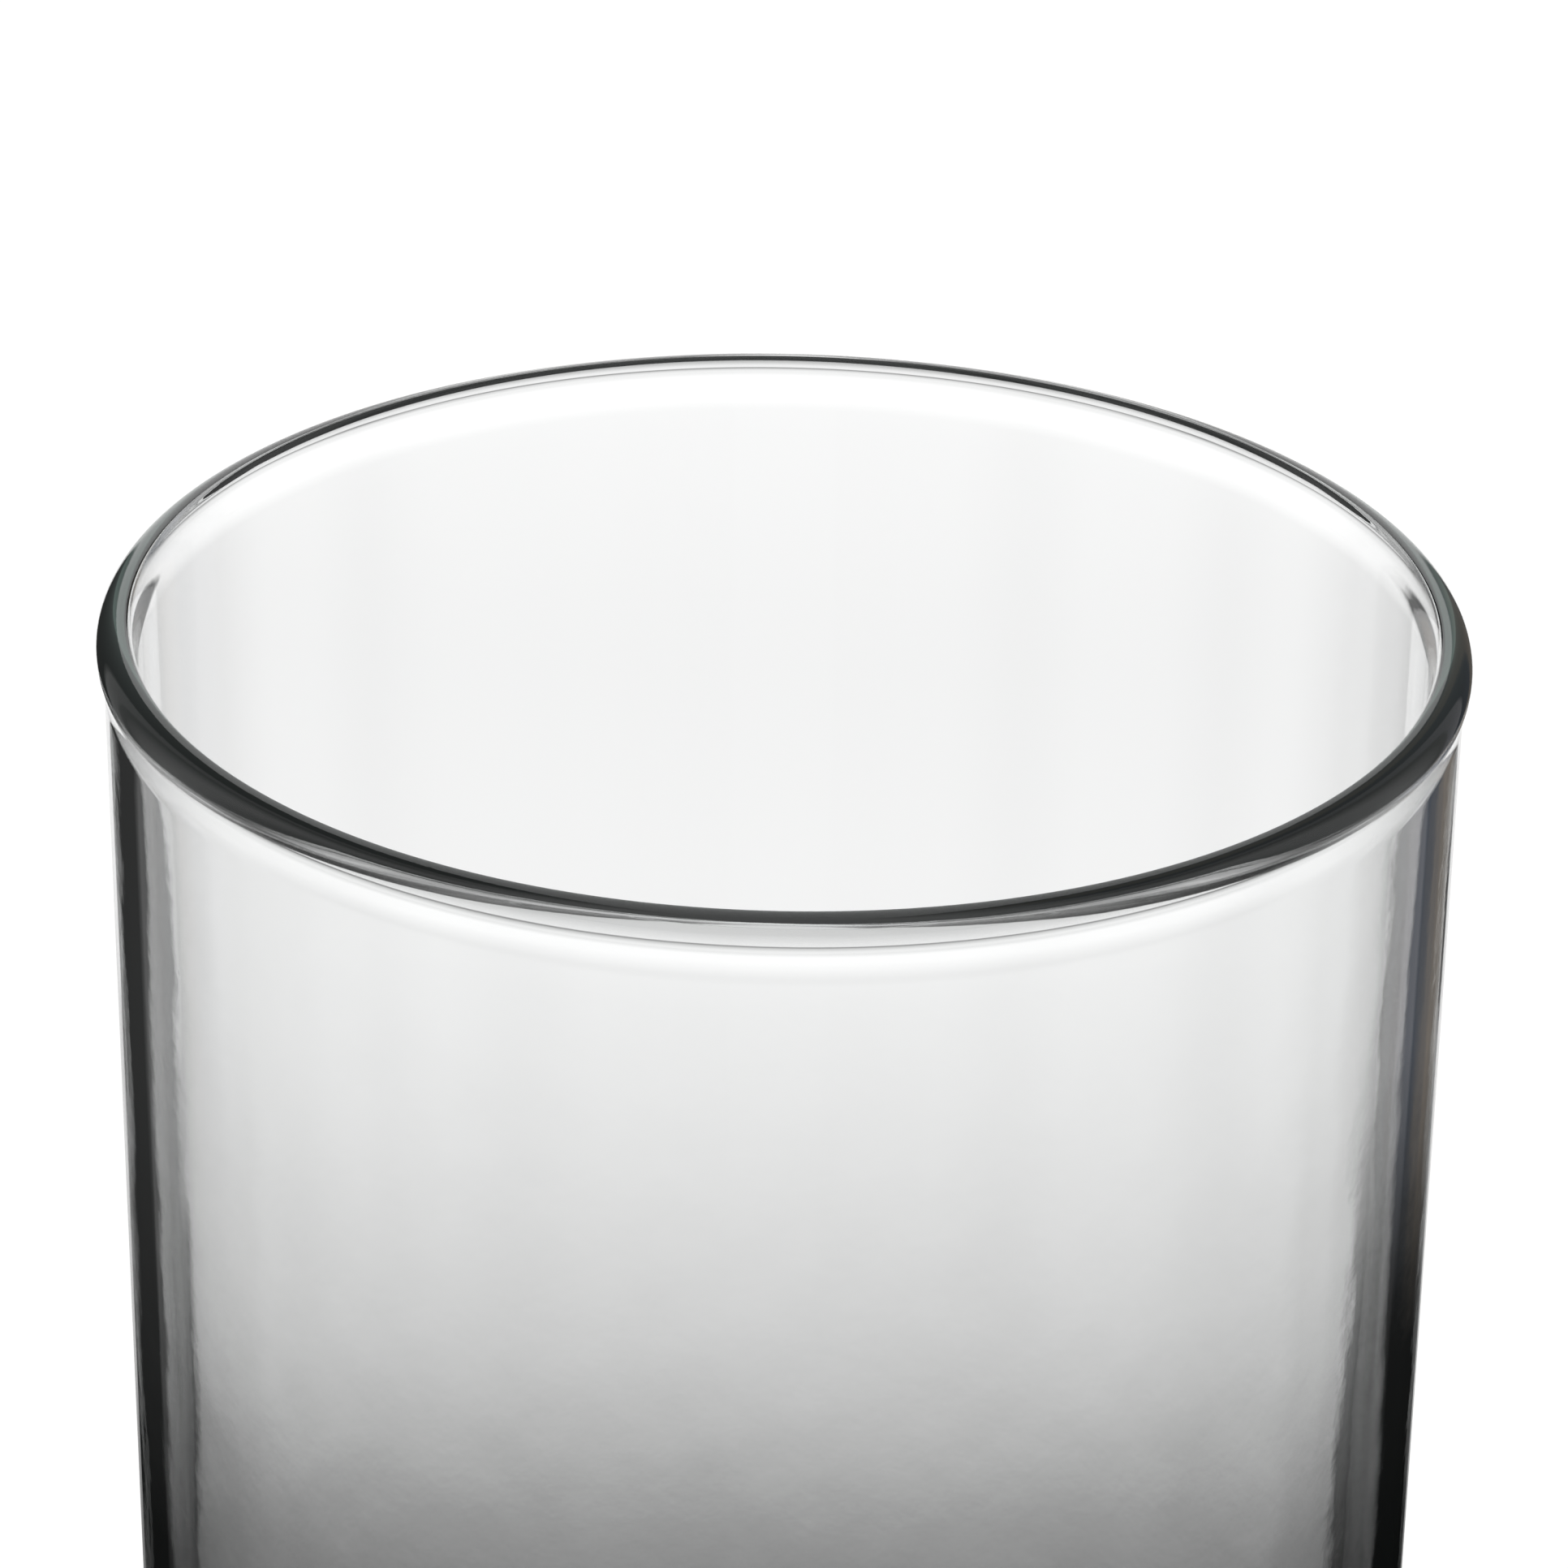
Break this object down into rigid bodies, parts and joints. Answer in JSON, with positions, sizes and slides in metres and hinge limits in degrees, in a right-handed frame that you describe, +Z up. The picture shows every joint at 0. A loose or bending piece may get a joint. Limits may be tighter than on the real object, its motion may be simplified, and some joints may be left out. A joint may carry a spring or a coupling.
{
  "type": "glass cylinder vase",
  "caption": "Straight-walled clear glass cylinder vase with a rounded, slightly proud, fire-polished rim, an open straight bore and a thick, slightly hollow base.",
  "frame": {"origin": "middle of the plane the vase stands on, on the vase's own axis", "axes": "+Z up along the vase's axis, from the base to the open mouth; X and Y are alike"},
  "size_m": [0.102, 0.102, 0.229],
  "materials": {
    "clear_glass": "clear soda-lime glass, blown wall with a fire-polished rim"
  },
  "bodies": {
    "root": {"vase_body": "clear_glass"}
  },
  "joints": []
}
